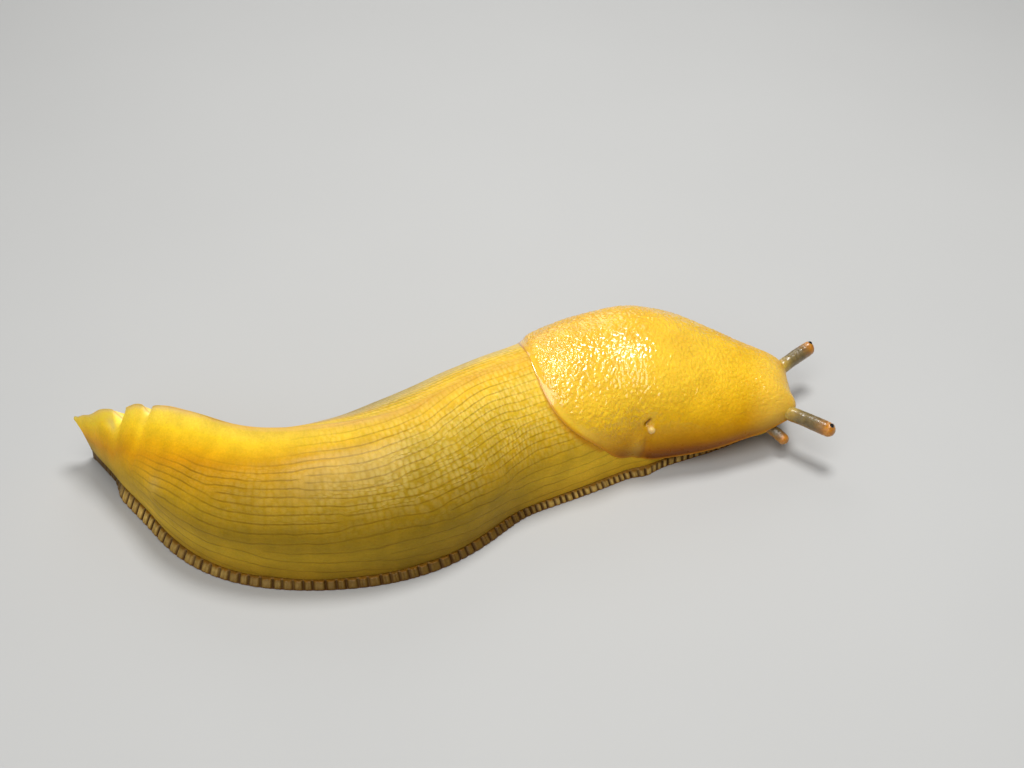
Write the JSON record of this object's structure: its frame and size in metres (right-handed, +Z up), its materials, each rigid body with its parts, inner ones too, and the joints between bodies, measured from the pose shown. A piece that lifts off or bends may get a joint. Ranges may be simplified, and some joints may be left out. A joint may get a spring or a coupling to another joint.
{
  "type": "banana slug",
  "caption": "Life-size still model of a creeping banana slug in an S-bend, with keeled tail, mantle, breathing pore, fringed foot and tentacles.",
  "frame": {"origin": "on the floor, under the middle of the part's box", "axes": "+X from the tail towards the head, +Y to the animal's left, +Z up from the flat sole"},
  "size_m": [0.1398, 0.061, 0.0239],
  "materials": {
    "skin": "wet skin, fine grooves and tubercles",
    "mantle_skin": "wet, finely wrinkled skin",
    "foot_skin": "damp skin with dark furrows",
    "tentacle_skin": "wet, slightly translucent skin",
    "eye": "black and glossy"
  },
  "bodies": {
    "root": {"tail": "skin", "torso_rear": "skin", "torso_middle": "skin", "torso_front": "skin", "neck": "skin", "head": "skin", "mantle": "mantle_skin", "foot_rear": "foot_skin", "foot_middle": "foot_skin", "foot_front": "foot_skin", "tentacle_upper_right": "tentacle_skin", "tentacle_upper_left": "tentacle_skin", "tentacle_lower_right": "tentacle_skin", "tentacle_lower_left": "tentacle_skin", "eye_right": "eye", "eye_left": "eye"}
  },
  "joints": []
}
